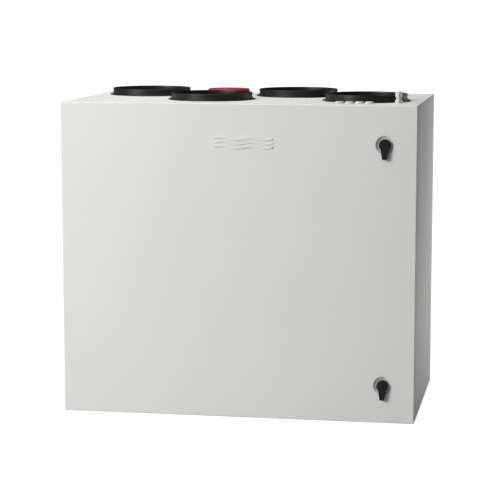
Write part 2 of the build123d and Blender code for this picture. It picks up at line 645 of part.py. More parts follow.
# ---- controls ------------------------------------------------------------------------------
def make_controls():
    """Tray with the circuit board in the front right corner, and its cover."""
    tray = block(BOX_X0, BOX_X1, BOX_Y0 + 3, BOX_Y1, BOX_Z0, BOX_Z1)
    tray -= block(BOX_X0 + PLATE, BOX_X1 - PLATE, BOX_Y0, BOX_Y1 - PLATE, BOX_Z0 + PLATE, BOX_Z1 - PLATE)
    save("control_tray", tray)
    cover = block(BOX_X0, BOX_X1, BOX_Y0, BOX_Y0 + 3, BOX_Z0, BOX_Z1)
    cover = fillet(cover.edges().filter_by(Axis.Y), 3.0)
    for i in range(6):
        z = BOX_Z0 + 40 + 9 * i
        cover -= block(BOX_X0 + 35, BOX_X1 - 35, BOX_Y0 - 1, BOX_Y0 + 4, z, z + 4)
    save("control_cover", cover)
    y = BOX_Y1 - 10
    pieces = [block(BOX_X0 + 10, BOX_X1 - 10, y, y + 1.6, BOX_Z0 + 14, BOX_Z1 - 14)]
    for dx in (20, BOX_X1 - BOX_X0 - 20):
        for z in (BOX_Z0 + 24, BOX_Z1 - 24):
            pieces.append(rod_y(BOX_X0 + dx, z, y + 1.6, BOX_Y1 - PLATE, 3.5))
    for i in range(8):
        x = BOX_X0 + 18 + 14.5 * i
        pieces.append(block(x, x + 12.5, y - 14, y, BOX_Z1 - 52, BOX_Z1 - 38))
    for i in range(3):
        z = BOX_Z0 + 110 + 46 * i
        pieces.append(block(BOX_X0 + 24, BOX_X0 + 52, y - 16, y, z, z + 30))
    pieces.append(block(BOX_X0 + 78, BOX_X0 + 112, y - 4, y, BOX_Z0 + 150, BOX_Z0 + 184))
    for i in range(3):
        pieces.append(rod_y(BOX_X0 + 84 + 16 * i, BOX_Z0 + 80, y - 22, y, 6))
    save("control_board", *pieces)


def make_probes():
    """Four temperature probes that hang from the chamber ceilings, one in each air path."""
    spots = [(-255.0, 250.0), (-30.0, -190.0), (250.0, 180.0), (478.0, 26.0)]
    probes = []
    for x, y in spots:
        probes.append(rod_z(x, y, IZ1 - 45, IZ1, 3) + rod_z(x, y, IZ1 - 6, IZ1, 7))
    save("temperature_probes", *probes)


# ---- top fittings --------------------------------------------------------------------------
def make_spigots():
    """Four round duct spigots, each a moulding with a sleeve through the top wall."""
    depth = -(WALL + LINER + 2)
    outline = [(SLEEVE_R, depth), (SLEEVE_R, 0), (FLANGE_R - 0.8, 0), (FLANGE_R, 0.8)]
    outline += [(FLANGE_R, FLANGE_H - 0.8), (FLANGE_R - 0.8, FLANGE_H), (STEP_R, FLANGE_H)]
    outline += [(STEP_R, STEP_H - 0.6), (STEP_R - 0.6, STEP_H), (NECK_R, STEP_H)]
    outline += [(NECK_R, NECK_H), (RIM_R, NECK_H), (RIM_R, SPIGOT_H - 0.7)]
    outline += [(RIM_R - 0.7, SPIGOT_H), (RIM_R - 2.6, SPIGOT_H), (BORE_R + 1.2, SPIGOT_H - 2.0)]
    outline += [(BORE_R, SPIGOT_H - 5.0), (BORE_R, depth)]
    for name, (x, y) in SPIGOTS.items():
        save(name, turned(outline, x, y, HEIGHT))


def make_hood_connection():
    """Kitchen-hood spigot, its lift-off cap, and the pipe that leads to the exhaust fan."""
    x, y = HOOD_AT
    inner = HOOD_R - HOOD_T
    low = -(WALL + LINER + 2)
    outline = [(inner, low), (HOOD_R, low), (HOOD_R, 0), (CAP_R, 0), (CAP_R, 1.2), (HOOD_R, 1.2)]
    outline += [(HOOD_R, HOOD_H), (inner, HOOD_H)]
    save("hood_spigot", turned(outline, x, y, HEIGHT))
    outline = [(0, CAP_H), (CAP_R - 2.0, CAP_H), (CAP_R - 0.6, CAP_H - 0.6), (CAP_R, CAP_H - 2.0)]
    outline += [(CAP_R, 1.6), (CAP_R - CAP_T, 1.6), (CAP_R - CAP_T, CAP_H - CAP_T), (0, CAP_H - CAP_T)]
    cap = turned(outline, x, y, HEIGHT)
    cap -= turned([(30, 0), (54, 0), (54, 3), (30, 3)], x, y, HEIGHT + CAP_H - 1.0)
    save("hood_cap", cap)
    top, foot = HEIGHT + low, SHELF_Z + PLATE
    path = FilletPolyline((x, y, top), (x, y, 806), (BYPASS_FOOT_X, y, 686), (BYPASS_FOOT_X, y, foot),
                          radius=110)
    mouth = Plane(origin=(x, y, top), z_dir=(0, 0, -1))
    pipe = sweep(mouth * Circle(HOOD_R), path=path) - sweep(mouth * Circle(inner), path=path)
    save("bypass_pipe", pipe)


def make_cable_entries():
    """Four soft grommets in a row, and one upright gland with a dome nut."""
    r, h, neck = GROMMET_R, GROMMET_H, GROMMET_NECK_R
    outline = [(0, -9), (neck, -9), (neck, 0), (r, 0)]
    outline += [(r, 1.5), (r - 1.0, 3.0), (r - 2.4, h - 1.0), (r - 3.6, h - 0.2), (r - 5.0, h)]
    outline += [(3.2, h), (2.2, h - 1.4), (0, h - 1.4)]
    save("cable_grommets", *[turned(outline, x, GROMMET_Y, HEIGHT) for x in GROMMET_X])

    x, y = GLAND_AT
    body = hex_prism(GLAND_HEX, 0, GLAND_HEX_H)
    body += rod_z(x, y, HEIGHT + GLAND_HEX_H, HEIGHT + GLAND_NUT_Z - 0.5, GLAND_COLLAR_R)
    body += rod_z(x, y, HEIGHT - 30, HEIGHT + GLAND_THREAD_TOP, GLAND_THREAD_R)
    body -= rod_z(x, y, HEIGHT - 31, HEIGHT + 30, GLAND_BODY_BORE_R)
    save("gland_body", body)
    nut = hex_prism(GLAND_NUT, GLAND_NUT_Z, GLAND_TOP)
    nut -= rod_z(x, y, HEIGHT + GLAND_NUT_Z - 1, HEIGHT + GLAND_THREAD_TOP + 0.2, GLAND_THREAD_R)
    nut -= rod_z(x, y, HEIGHT + GLAND_NUT_Z - 1, HEIGHT + GLAND_TOP + 1, GLAND_BORE_R)
    save("gland_nut", nut)


def hex_prism(flats, z0, z1):
    """Hexagon of the gland between two heights above the top panel, one corner to the front."""
    prism = extrude(Rot(Z=30) * RegularPolygon(flats / 2, 6, major_radius=False), z1 - z0)
    prism = chamfer(prism.edges().group_by(Axis.Z)[-1], 1.0)
    return Pos(*GLAND_AT, HEIGHT + z0) * prism


# ---- door ----------------------------------------------------------------------------------
def hinge_pockets(grow=0.0):
    """Space in the door's rear left edge for the two hinges."""
    tools = []
    for z in HINGE_Z:
        z0, z1 = z - 3 - grow, z + 2 * BARREL_H + 4 + grow
        tools.append(block(X0 - 1, HINGE_X + 7, HINGE_Y - ROLL_R, DOOR_BACK + 1, z0, z1))
    return tools


def dish(z):
    """Pressed round recess in the door's front sheet, as a thin turned shell."""
    t = SHEET
    floor, edge, deep = DISH_FLOOR_R, DISH_R, DISH_DEPTH
    outline = [(LOCK_SLEEVE_R, deep), (floor, deep), (edge - 1.0, 0.6), (edge, 0)]
    outline += [(edge, t), (edge - 0.6, t + 0.6), (floor + 0.4, deep + t), (LOCK_SLEEVE_R, deep + t)]
    shell = turned(outline, 0, 0, 0)
    return Pos(LOCK_X, Y0, z) * Rot(X=-90) * shell


def door_mark():
    """Generic raised mark: three rising and falling air waves one above another."""
    pieces = []
    for i in range(MARK_WAVES):
        z = MARK_Z + MARK_PITCH * i
        upper, lower = [], []
        for k in range(MARK_STEPS + 1):
            s = k / MARK_STEPS
            taper = MARK_HALF_W * math.sin(math.pi * (0.14 + 0.72 * s))
            x = MARK_X + MARK_LENGTH * s
            middle = z + MARK_RISE * math.sin(4 * math.pi * s)
            upper.append((x, middle + taper))
            lower.append((x, middle - taper))
        ends = [Line(upper[0], lower[0]), Line(upper[-1], lower[-1])]
        face = make_face([Spline(*upper), Spline(*lower)] + ends)
        plane = Plane(origin=(0, Y0 + SHEET / 2, 0), x_dir=(1, 0, 0), z_dir=(0, -1, 0))
        pieces.append(extrude(plane * face, SHEET / 2 + MARK_RELIEF))
    return pieces


def make_door():
    """Door: folded skin with two lock recesses, insulation, inner panel and gasket."""
    z0, z1 = DOOR_LIFT, HEIGHT
    outer = block(X0, X1, Y0, DOOR_BACK, z0, z1)
    outer = fillet(outer.edges().filter_by(Axis.Y), EDGE_R)
    outer = fillet(outer.faces().sort_by(Axis.Y)[0].edges(), EDGE_R)
    rear_left = outer.edges().filter_by(Axis.Z).group_by(Axis.X)[0].sort_by(Axis.Y)[-1]
    outer = fillet(rear_left, ROLL_R)
    core = block(X0 + SHEET, X1 - SHEET, Y0 + SHEET, DOOR_BACK + 1, z0 + SHEET, z1 - SHEET)
    core -= block(X0, HINGE_X, HINGE_Y, DOOR_BACK + 2, z0, z1)
    core += rod_z(HINGE_X, HINGE_Y, z0 + SHEET, z1 - SHEET, ROLL_R - SHEET)
    skin = outer - core
    for z in LOCKS.values():
        skin -= rod_y(LOCK_X, z, Y0 - 1, Y0 + SHEET + 1, DISH_R)
        skin += dish(z)
    for tool in hinge_pockets():
        skin -= tool
    for wave in door_mark():
        skin += wave
    save("door_skin", skin)

    back = DOOR_BACK - 0.8
    wool = block(HINGE_X + 8, X1 - SHEET - 1, Y0 + SHEET + EDGE_R, back, z0 + 4, z1 - 4)
    for z in LOCKS.values():
        wool -= rod_y(LOCK_X, z, Y0, DOOR_BACK, DISH_R + 4)
    for z in HINGE_Z:
        wool -= block(HINGE_X, HINGE_X + 32, back - LEAF_T - 0.5, back, z + BARREL_H, z + 2 * BARREL_H + 4)
    save("door_insulation", wool)

    panel = block(HINGE_X, X1 - SHEET, back, DOOR_BACK, z0 + SHEET, z1 - SHEET)
    for z in LOCKS.values():
        panel -= rod_y(LOCK_X, z, back - 1, DOOR_BACK + 1, LOCK_SLEEVE_R)
    for tool in hinge_pockets(grow=0.2):
        panel -= tool
    save("door_inner_panel", panel)

    gx, (gz0, gz1), w = GASKET_X, GASKET_Z, GASKET_W
    seal = block(-gx - w, gx + w, DOOR_BACK, DOOR_BACK + GASKET_T, gz0 - w, gz1 + w)
    seal -= block(-gx, gx, DOOR_BACK - 1, DOOR_BACK + GASKET_T + 1, gz0, gz1)
    inner_edges = seal.faces().sort_by(Axis.Y)[-1].edges()
    save("door_gasket", fillet(inner_edges, 2.5))


def make_hinges():
    """Two lift-off hinges: a cabinet leaf with its pin below, a door leaf above."""
    case_leaves, door_leaves, pins = [], [], []
    for z in HINGE_Z:
        mid, top = z + BARREL_H, z + 2 * BARREL_H
        barrel = rod_z(HINGE_X, HINGE_Y, z, mid, BARREL_R)
        arm = block(HINGE_X - 2, HINGE_X + 2, HINGE_Y, FRAME_Y, z, mid)
        leaf = block(HINGE_X - 2, HINGE_X + 18, FRAME_Y - LEAF_T, FRAME_Y, z - 2, mid)
        case_leaves.append(barrel + arm + leaf - rod_z(HINGE_X, HINGE_Y, z - 1, mid + 1, PIN_R))
        pins.append(rod_z(HINGE_X, HINGE_Y, z, top - 2, PIN_R))
        low = mid + 0.5
        rear = DOOR_BACK - 0.8
        knuckle = rod_z(HINGE_X, HINGE_Y, low, top, BARREL_R)
        plate = block(HINGE_X, HINGE_X + 30, rear - LEAF_T, rear, low, top)
        door_leaves.append(knuckle + plate - rod_z(HINGE_X, HINGE_Y, low - 1, top - 1.5, PIN_R + RUN_PLAY))
    save("cabinet_hinge_leaves", *case_leaves)
    save("hinge_pins", *pins)
    save("door_hinge_leaves", *door_leaves)


# ---- locks ---------------------------------------------------------------------------------
def lever(z):
    """Lock handle: low round hub and a flat tapered grip that hangs straight down."""
    back, front = Y0 + LEVER_BACK, Y0 - LEVER_OUT
    hub = rod_y(LOCK_X, z, front + 2.5, back, LEVER_HUB_R)
    hub = fillet(hub.edges().sort_by(Axis.Y)[0], 5.0)
    root, tip, crown = LEVER_ROOT_W / 2, LEVER_TIP_W / 2, LEVER_CROWN
    corners = [(-root, crown - 4), (-root + 3, crown), (root - 3, crown), (root, crown - 4)]
    corners += [(root, 0), (tip, -LEVER_REACH), (-tip, -LEVER_REACH), (-root, 0)]
    face = make_face(Polyline(*corners, close=True))
    plane = Plane(origin=(LOCK_X, Y0, z), x_dir=(1, 0, 0), z_dir=(0, -1, 0))
    grip = extrude(plane * face, LEVER_OUT)
    grip = fillet(grip.edges().filter_by(Axis.Y).group_by(Axis.Z)[0], 2.5)
    grip -= block(LOCK_X - 30, LOCK_X + 30, Y0 - LEVER_GAP, Y0 + 1, z - LEVER_REACH - 5,
                  z - LEVER_HUB_R + 2)
    grip = fillet(grip.faces().sort_by(Axis.Y)[0].edges(), 1.8)
    return hub + grip - rod_y(LOCK_X, z, back - SOCKET_DEPTH, back + 1, SPINDLE_R)


def spindle(z):
    """Turning spindle, and the hex nut that holds the cam on it."""
    start = Y0 + LEVER_BACK - SOCKET_DEPTH
    shaft = rod_y(LOCK_X, z, start, CAM_Y + CAM_T + 8, SPINDLE_R)
    hexagon = extrude(RegularPolygon(8.0, 6), 5.0)
    nut = Pos(LOCK_X, CAM_Y + CAM_T, z) * Rot(X=-90) * hexagon
    nut -= rod_y(LOCK_X, z, CAM_Y, CAM_Y + 12, SPINDLE_R)
    return shaft, nut


def cam(z):
    """Latch plate on the spindle; it points down with the handle."""
    plate = block(LOCK_X - CAM_W / 2, LOCK_X + CAM_W / 2, CAM_Y, CAM_Y + CAM_T, z - CAM_REACH, z)
    plate += rod_y(LOCK_X, z, CAM_Y, CAM_Y + CAM_T, CAM_W / 2 + 2)
    plate = fillet(plate.edges().filter_by(Axis.Y).group_by(Axis.Z)[0], 4.0)
    return plate - rod_y(LOCK_X, z, CAM_Y - 1, CAM_Y + CAM_T + 1, SPINDLE_R)


def lock_housing(z):
    """Sleeve through the door, with a flange in the recess and a nut inside."""
    face = Y0 + DISH_DEPTH
    sleeve = rod_y(LOCK_X, z, face, DOOR_BACK + 12, LOCK_SLEEVE_R)
    flange = rod_y(LOCK_X, z, face - 1.8, face, LOCK_SLEEVE_R + 5)
    nut = Pos(LOCK_X, DOOR_BACK, z) * Rot(X=-90) * extrude(RegularPolygon(17.0, 6), 6.0)
    return sleeve + flange + nut - rod_y(LOCK_X, z, face - 3, DOOR_BACK + 20, SPINDLE_R + RUN_PLAY)


def keeper(z):
    """Angle on the liner's right wall that the cam turns behind."""
    foot = block(IX1 - 2, IX1, CAM_Y - 6, CAM_Y + 24, z - 20, z + 20)
    tab = block(KEEPER_X, IX1, CAM_Y - 5, CAM_Y - 2, z - 20, z + 20)
    return foot + tab


def make_locks():
    """Two quarter-turn locks near the door's free edge; spindle, cam and nut turn together."""
    for name, z in LOCKS.items():
        save(f"{name}_lever", lever(z))
        save(f"{name}_cam", cam(z), *spindle(z))
    save("lock_housings", *[lock_housing(z) for z in LOCKS.values()])
    save("lock_keepers", *[keeper(z) for z in LOCKS.values()])


make_panels()
make_insulation()
make_liner()
make_front_frame()
make_dividers()
make_upper_shelf()
make_riser()
make_centre_wall()
make_plenum()
make_cassette()
make_wheel()
make_brush_seals()
make_drive()
make_fans()
make_filters()
make_heater()
make_controls()
make_probes()
make_spigots()
make_hood_connection()
make_cable_entries()
make_door()
make_hinges()
make_locks()
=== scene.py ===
import bpy
import bmesh
import json
import math
from mathutils import Matrix, Vector

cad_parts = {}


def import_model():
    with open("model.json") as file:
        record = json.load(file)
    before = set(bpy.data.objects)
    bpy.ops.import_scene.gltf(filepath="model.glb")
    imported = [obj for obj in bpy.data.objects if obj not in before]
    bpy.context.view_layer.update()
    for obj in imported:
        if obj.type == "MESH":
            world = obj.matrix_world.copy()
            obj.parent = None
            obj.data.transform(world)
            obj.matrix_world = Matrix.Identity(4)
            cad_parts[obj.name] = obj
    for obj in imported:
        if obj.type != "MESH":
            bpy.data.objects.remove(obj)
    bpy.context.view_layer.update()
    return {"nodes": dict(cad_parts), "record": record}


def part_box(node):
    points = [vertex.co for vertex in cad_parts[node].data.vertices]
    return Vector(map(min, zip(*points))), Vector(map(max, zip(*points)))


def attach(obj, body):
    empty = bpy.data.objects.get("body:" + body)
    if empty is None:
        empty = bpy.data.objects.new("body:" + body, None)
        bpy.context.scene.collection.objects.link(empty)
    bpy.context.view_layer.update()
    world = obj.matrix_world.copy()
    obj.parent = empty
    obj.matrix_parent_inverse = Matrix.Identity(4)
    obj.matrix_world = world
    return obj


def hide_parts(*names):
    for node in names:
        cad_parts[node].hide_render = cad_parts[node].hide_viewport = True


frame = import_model()
NODES = frame["nodes"]


# ---- node helpers --------------------------------------------------------------------------
class Surface:
    """A Principled material, with short calls for the textures that give it detail."""

    def __init__(self, name, color, roughness, metallic=0.0):
        self.material = bpy.data.materials.new(name)
        self.material.use_nodes = True
        self.tree = self.material.node_tree
        self.shader = self.tree.nodes["Principled BSDF"]
        self.shader.inputs["Base Color"].default_value = (*color, 1.0)
        self.shader.inputs["Roughness"].default_value = roughness
        self.shader.inputs["Metallic"].default_value = metallic
        self.coords = self.tree.nodes.new("ShaderNodeTexCoord").outputs["Object"]
        self.normal = None

    def place(self, stretch):
        """Object coordinates, stretched per axis."""
        node = self.tree.nodes.new("ShaderNodeMapping")
        node.inputs["Scale"].default_value = stretch
        self.tree.links.new(self.coords, node.inputs["Vector"])
        return node.outputs["Vector"]

    def noise(self, scale, detail=3.0, stretch=(1.0, 1.0, 1.0)):
        """Cloudy noise with features of about 1/scale metres."""
        node = self.tree.nodes.new("ShaderNodeTexNoise")
        node.inputs["Scale"].default_value = scale
        node.inputs["Detail"].default_value = detail
        self.tree.links.new(self.place(stretch), node.inputs["Vector"])
        return node.outputs["Fac"]

    def cells(self, scale, output="Color", feature="F1"):
        """Voronoi cells of about 1/scale metres."""
        node = self.tree.nodes.new("ShaderNodeTexVoronoi")
        node.feature = feature
        node.inputs["Scale"].default_value = scale
        self.tree.links.new(self.coords, node.inputs["Vector"])
        return node.outputs[output]

    def spread(self, value, low, high, start=0.3, stop=0.7):
        """Maps a texture's middle range to low..high."""
        node = self.tree.nodes.new("ShaderNodeMapRange")
        node.inputs["From Min"].default_value = start
        node.inputs["From Max"].default_value = stop
        node.inputs["To Min"].default_value = low
        node.inputs["To Max"].default_value = high
        self.tree.links.new(value, node.inputs["Value"])
        return node.outputs["Result"]

    def tint(self, value, dark, light, start=0.3, stop=0.7):
        """Colours the surface from dark to light along a texture."""
        node = self.tree.nodes.new("ShaderNodeValToRGB")
        node.color_ramp.elements[0].position = start
        node.color_ramp.elements[0].color = (*dark, 1.0)
        node.color_ramp.elements[1].position = stop
        node.color_ramp.elements[1].color = (*light, 1.0)
        self.tree.links.new(value, node.inputs["Fac"])
        self.tree.links.new(node.outputs["Color"], self.shader.inputs["Base Color"])

    def vary_roughness(self, value, low, high):
        """Roughness from low to high along a texture."""
        self.tree.links.new(self.spread(value, low, high), self.shader.inputs["Roughness"])

    def bump(self, height, strength, depth):
        """Adds relief of that depth in metres; calls stack."""
        node = self.tree.nodes.new("ShaderNodeBump")
        node.inputs["Strength"].default_value = strength
        node.inputs["Distance"].default_value = depth
        self.tree.links.new(height, node.inputs["Height"])
        if self.normal is not None:
            self.tree.links.new(self.normal, node.inputs["Normal"])
        self.normal = node.outputs["Normal"]
        self.tree.links.new(self.normal, self.shader.inputs["Normal"])

    def set(self, **values):
        """Constants on the shader's own sockets; underscores stand for spaces."""
        for key, value in values.items():
            self.shader.inputs[key.replace("_", " ")].default_value = value


# ---- materials -----------------------------------------------------------------------------
def powder_coat():
    """White powder coat: slight orange peel, nearly matt."""
    s = Surface("white_powder_coat", (0.80, 0.80, 0.785), 0.55)
    s.tint(s.noise(2.2, 4.0), (0.785, 0.788, 0.774), (0.810, 0.812, 0.798))
    s.vary_roughness(s.noise(35.0, 3.0), 0.52, 0.60)
    s.bump(s.noise(700.0, 2.0), 0.10, 0.00012)
    s.bump(s.noise(14.0, 2.0), 0.06, 0.0006)
    s.set(Specular_IOR_Level=0.25)
    return s.material


def galvanised():
    """Hot-dip zinc sheet with spangle."""
    s = Surface("galvanised_sheet", (0.70, 0.72, 0.74), 0.42, 0.65)
    s.tint(s.cells(85.0), (0.60, 0.62, 0.64), (0.78, 0.80, 0.81), 0.1, 0.9)
    s.vary_roughness(s.cells(85.0), 0.34, 0.50)
    s.bump(s.cells(85.0, "Distance"), 0.10, 0.0002)
    s.bump(s.noise(420.0, 3.0), 0.08, 0.0001)
    return s.material


def mineral_wool():
    """Yellow-grey pressed fibres."""
    s = Surface("mineral_wool", (0.60, 0.53, 0.33), 0.95)
    s.tint(s.noise(320.0, 6.0, (1.0, 1.0, 5.0)), (0.42, 0.36, 0.20), (0.70, 0.63, 0.43))
    s.bump(s.noise(260.0, 8.0, (1.0, 1.0, 6.0)), 0.7, 0.002)
    s.set(Sheen_Weight=0.3)
    return s.material


def zinc_steel():
    """Zinc-plated small steel parts with fine drawing marks."""
    s = Surface("zinc_steel", (0.60, 0.60, 0.61), 0.3, 1.0)
    s.tint(s.noise(60.0, 4.0), (0.48, 0.48, 0.50), (0.68, 0.68, 0.68))
    s.vary_roughness(s.noise(900.0, 2.0, (1.0, 1.0, 0.08)), 0.22, 0.42)
    s.bump(s.noise(1500.0, 2.0, (1.0, 1.0, 0.05)), 0.15, 0.00005)
    return s.material


def black_moulding(name, base, roughness):
    """Moulded black plastic with a fine grain and faint flow marks."""
    s = Surface(name, base, roughness)
    lift = tuple(c * 1.4 + 0.002 for c in base)
    s.tint(s.noise(18.0, 5.0), base, lift)
    s.vary_roughness(s.noise(120.0, 4.0), roughness - 0.05, roughness + 0.06)
    s.bump(s.cells(1400.0, "Distance"), 0.18, 0.0001)
    s.bump(s.noise(30.0, 2.0), 0.05, 0.0005)
    s.set(Specular_IOR_Level=0.32)
    return s.material


def red_moulding():
    """Red moulded cap."""
    s = Surface("red_moulding", (0.42, 0.02, 0.025), 0.36)
    s.tint(s.noise(24.0, 4.0), (0.36, 0.014, 0.018), (0.47, 0.026, 0.030))
    s.vary_roughness(s.noise(140.0, 3.0), 0.30, 0.44)
    s.bump(s.cells(1500.0, "Distance"), 0.15, 0.0001)
    return s.material


def pale_moulding():
    """Pale grey polyamide of the glands and grommets."""
    s = Surface("pale_moulding", (0.58, 0.58, 0.57), 0.5)
    s.tint(s.noise(60.0, 4.0), (0.54, 0.54, 0.53), (0.62, 0.62, 0.61))
    s.bump(s.noise(1200.0, 3.0), 0.15, 0.0001)
    s.set(Subsurface_Weight=0.05, Subsurface_Radius=(0.004, 0.004, 0.004))
    return s.material


def rubber():
    """Matt black cellular rubber."""
    s = Surface("cell_rubber", (0.025, 0.025, 0.026), 0.8)
    s.tint(s.noise(90.0, 5.0), (0.018, 0.018, 0.019), (0.040, 0.040, 0.041))
    s.bump(s.cells(1100.0, "Distance"), 0.4, 0.0003)
    return s.material


def brush_fibre():
    """Dense nylon bristles, drawn out along the wheel's axle."""
    s = Surface("brush_fibre", (0.05, 0.05, 0.05), 0.7)
    s.tint(s.noise(1400.0, 2.0, (0.03, 1.0, 1.0)), (0.02, 0.02, 0.02), (0.11, 0.11, 0.11))
    s.bump(s.noise(1400.0, 2.0, (0.03, 1.0, 1.0)), 0.9, 0.0006)
    return s.material


def satin_aluminium():
    """Turned aluminium with fine rings."""
    s = Surface("satin_aluminium", (0.78, 0.79, 0.80), 0.3, 1.0)
    s.tint(s.noise(50.0, 3.0), (0.70, 0.71, 0.72), (0.82, 0.83, 0.84))
    s.vary_roughness(s.noise(1100.0, 2.0, (1.0, 0.06, 0.06)), 0.22, 0.40)
    s.bump(s.noise(1300.0, 2.0, (1.0, 0.05, 0.05)), 0.12, 0.00005)
    return s.material


def aluminium_foil():
    """Thin matt foil of the wheel's corrugated matrix."""
    s = Surface("matrix_foil", (0.72, 0.73, 0.74), 0.42, 1.0)
    s.tint(s.noise(220.0, 4.0), (0.55, 0.56, 0.57), (0.80, 0.81, 0.82))
    s.bump(s.noise(700.0, 3.0), 0.25, 0.0003)
    return s.material


def motor_black():
    """Dark cast aluminium of the motors."""
    s = Surface("motor_casting", (0.10, 0.10, 0.11), 0.5, 0.6)
    s.tint(s.noise(150.0, 5.0), (0.07, 0.07, 0.075), (0.15, 0.15, 0.155))
    s.bump(s.noise(900.0, 4.0), 0.4, 0.0003)
    return s.material


def filter_board():
    """Beige pressed board of the filter frames."""
    s = Surface("filter_board", (0.70, 0.64, 0.52), 0.85)
    s.tint(s.noise(500.0, 6.0, (1.0, 1.0, 0.2)), (0.60, 0.53, 0.41), (0.76, 0.71, 0.60))
    s.bump(s.noise(700.0, 5.0), 0.35, 0.0003)
    return s.material


def filter_cloth():
    """White non-woven cloth: tangled fine fibres."""
    s = Surface("filter_cloth", (0.86, 0.87, 0.86), 0.9)
    s.tint(s.noise(900.0, 6.0), (0.74, 0.76, 0.76), (0.92, 0.93, 0.92))
    s.bump(s.noise(1100.0, 8.0), 0.6, 0.0005)
    s.set(Sheen_Weight=0.4, Sheen_Roughness=0.5)
    return s.material


MATERIALS = {
    "white_paint": powder_coat(),
    "galvanised": galvanised(),
    "wool": mineral_wool(),
    "steel": zinc_steel(),
    "foil": aluminium_foil(),
    "aluminium": satin_aluminium(),
    "black_plastic": black_moulding("black_moulding", (0.009, 0.009, 0.0095), 0.36),
    "rubber": rubber(),
    "motor_paint": motor_black(),
    "red_plastic": red_moulding(),
    "pale_plastic": pale_moulding(),
    "card": filter_board(),
    "filter_cloth": filter_cloth(),
    "board": black_moulding("solder_mask", (0.02, 0.12, 0.05), 0.35),
}
OWN_MATERIAL = {"brush_seals": brush_fibre()}


def dress(node, material):
    """Gives every slot of a CAD node one material."""
    for slot in NODES[node].material_slots:
        slot.material = material


def dress_all():
    """Materials by the record's slots, apart from the nodes with one of their own."""
    for part in frame["record"]["subparts"]:
        node = part["node"]
        dress(node, OWN_MATERIAL.get(node, MATERIALS[part["material_slot"]]))


# ---- mesh helpers --------------------------------------------------------------------------
def new_piece(name, bm, material, body, smooth=False):
    """Turns a bmesh into a piece that rides on a body."""
    bmesh.ops.recalc_face_normals(bm, faces=bm.faces)
    mesh = bpy.data.meshes.new(name)
    bm.to_mesh(mesh)
    bm.free()
    for polygon in mesh.polygons:
        polygon.use_smooth = smooth
    mesh.materials.append(material)
    piece = bpy.data.objects.new(name, mesh)
    bpy.context.collection.objects.link(piece)
    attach(piece, body)
    return piece


def add_box(bm, low, high, bevel=0.0):
    """A box between two corners, with bevelled edges."""
    low, high = Vector(low), Vector(high)
    made = bmesh.ops.create_cube(bm, size=1.0)["verts"]
    size, middle = high - low, (low + high) / 2
    for v in made:
        v.co = Vector((v.co.x * size.x, v.co.y * size.y, v.co.z * size.z)) + middle
    if bevel:
        edges = list({e for v in made for e in v.link_edges})
        bmesh.ops.bevel(bm, geom=edges, offset=bevel, segments=2, affect="EDGES", clamp_overlap=True)


def add_turned(bm, profile, spin, segments=32):
    """A closed body turned from (radius, height) points; spin places it."""
    rings = []
    for radius, height in profile:
        if radius == 0:
            rings.append([bm.verts.new(spin @ Vector((0, 0, height)))])
            continue
        ring = []
        for k in range(segments):
            angle = 2 * math.pi * k / segments
            point = Vector((radius * math.cos(angle), radius * math.sin(angle), height))
            ring.append(bm.verts.new(spin @ point))
        rings.append(ring)
    for lower, upper in zip(rings, rings[1:]):
        for k in range(segments):
            n = (k + 1) % segments
            if len(lower) == 1:
                bm.faces.new((lower[0], upper[n], upper[k]))
            elif len(upper) == 1:
                bm.faces.new((lower[k], lower[n], upper[0]))
            else:
                bm.faces.new((lower[k], lower[n], upper[n], upper[k]))


# ---- heat wheel matrix ---------------------------------------------------------------------
FOIL_PITCH = 0.0086            # radial height of one corrugated layer
FOIL_T = 0.0005
FLUTE = 0.0090                 # length of one corrugation along its layer
FLUTE_STEPS = 6


def foil_band(bm, radius_at, count, centre, x0, x1):
    """One closed foil ring: radius_at(k) gives its middle radius at step k of count."""
    loops = []
    for x, shift in ((x0, -0.5), (x0, 0.5), (x1, 0.5), (x1, -0.5)):
        loop = []
        for k in range(count):
            angle = 2 * math.pi * k / count
            r = radius_at(k) + shift * FOIL_T
            place = (x, centre.y + r * math.cos(angle), centre.z + r * math.sin(angle))
            loop.append(bm.verts.new(place))
        loops.append(loop)
    for a, b in zip(loops, loops[1:] + loops[:1]):
        for k in range(count):
            n = (k + 1) % count
            bm.faces.new((a[k], a[n], b[n], b[k]))


def wheel_matrix():
    """Flat and corrugated foil layers in turn, from the hub to the rim."""
    low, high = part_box("wheel_matrix")
    hub_low, hub_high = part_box("wheel_hub")
    centre = (low + high) / 2
    inner = (hub_high.z - hub_low.z) / 2 + FOIL_T
    outer = (high.z - low.z) / 2 - FOIL_T
    layers = round((outer - inner) / FOIL_PITCH)
    pitch = (outer - inner) / layers
    x0, x1 = low.x + 0.0006, high.x - 0.0006
    bm = bmesh.new()
    for layer in range(layers + 1):
        r = inner + layer * pitch
        flats = 128 if r > outer / 2 else 72
        foil_band(bm, lambda k, r=r: r, flats, centre, x0, x1)
    for layer in range(layers):
        middle = inner + (layer + 0.5) * pitch
        rise = pitch / 2 - FOIL_T
        waves = round(2 * math.pi * middle / FLUTE)
        step = 2 * math.pi / FLUTE_STEPS
        foil_band(bm, lambda k, m=middle, a=rise: m + a * math.sin(step * k), waves * FLUTE_STEPS,
                  centre, x0, x1)
    matrix = new_piece("corrugated_matrix", bm, MATERIALS["foil"], "heat_wheel")
    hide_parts("wheel_matrix")


# ---- control board -------------------------------------------------------------------------
BOARD_T = 0.0016
BOARD_BEHIND = 0.0083          # from the face that carries the parts back to the tray
TERMINALS, TERMINAL_PITCH = 8, 0.0145
RELAYS, RELAY_PITCH = 3, 0.046
CHIP = 0.034                   # side of the processor's square
CAPACITORS, CAPACITOR_PITCH = 3, 0.016
CAN_R, CAN_H = 0.0062, 0.0205  # capacitor can


